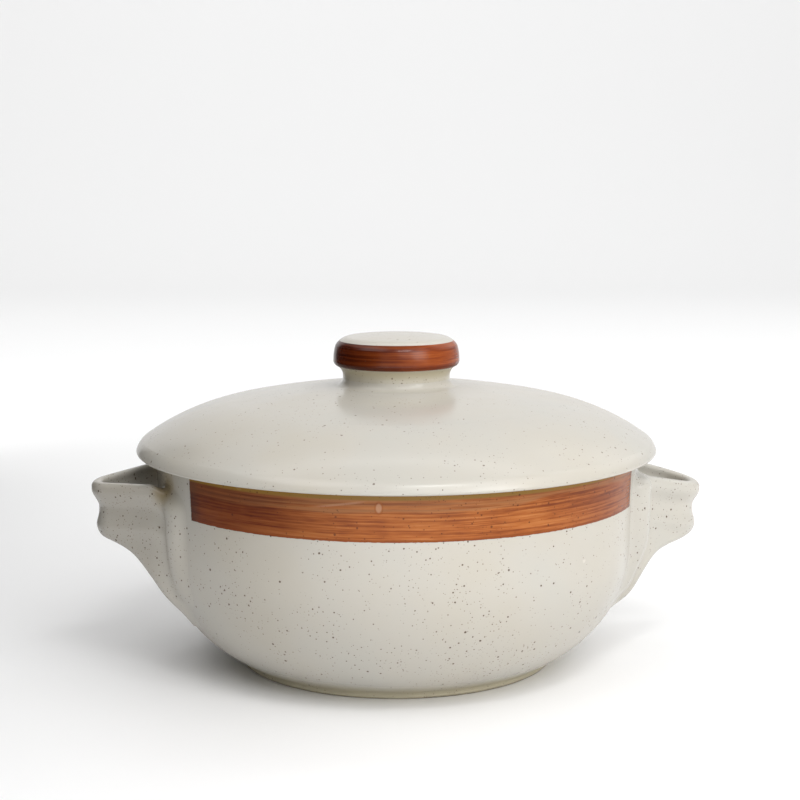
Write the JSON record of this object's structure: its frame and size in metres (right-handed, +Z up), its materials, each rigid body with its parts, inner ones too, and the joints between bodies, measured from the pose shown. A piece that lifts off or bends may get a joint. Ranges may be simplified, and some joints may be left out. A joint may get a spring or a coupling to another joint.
{
  "type": "covered casserole dish",
  "caption": "Round speckled stoneware casserole on a foot ring, with strap loop handles, brushed brown bands and a domed lift-off lid with a flat knob.",
  "frame": {"origin": "middle of the foot ring at table level, on the axis of the bowl, lid and knob", "axes": "+Z up along the axis; +X through the right handle; -Y is the front, the middle of the front band"},
  "size_m": [0.2854, 0.2396, 0.1515],
  "materials": {
    "speckled_glaze": "semi-gloss oatmeal glaze with small iron specks",
    "foot_glaze": "the same glaze, thinner and darker over the clay",
    "iron_band": "glossy iron-brown glaze laid on with a brush",
    "bare_stoneware": "matte unglazed stoneware"
  },
  "bodies": {
    "pot": {"bowl": "speckled_glaze", "foot_ring": "foot_glaze", "handle_left": "speckled_glaze", "handle_right": "speckled_glaze", "rim_band_front": "iron_band", "rim_band_rear": "iron_band"},
    "lid": {"lid": "speckled_glaze", "lid_flange": "bare_stoneware", "knob": "speckled_glaze", "knob_band": "iron_band"}
  },
  "joints": [
    {"name": "lid_lift", "type": "slide", "parent": "pot", "child": "lid", "axis": [0, 0, 1], "range_m": [0, 0.15]}
  ]
}
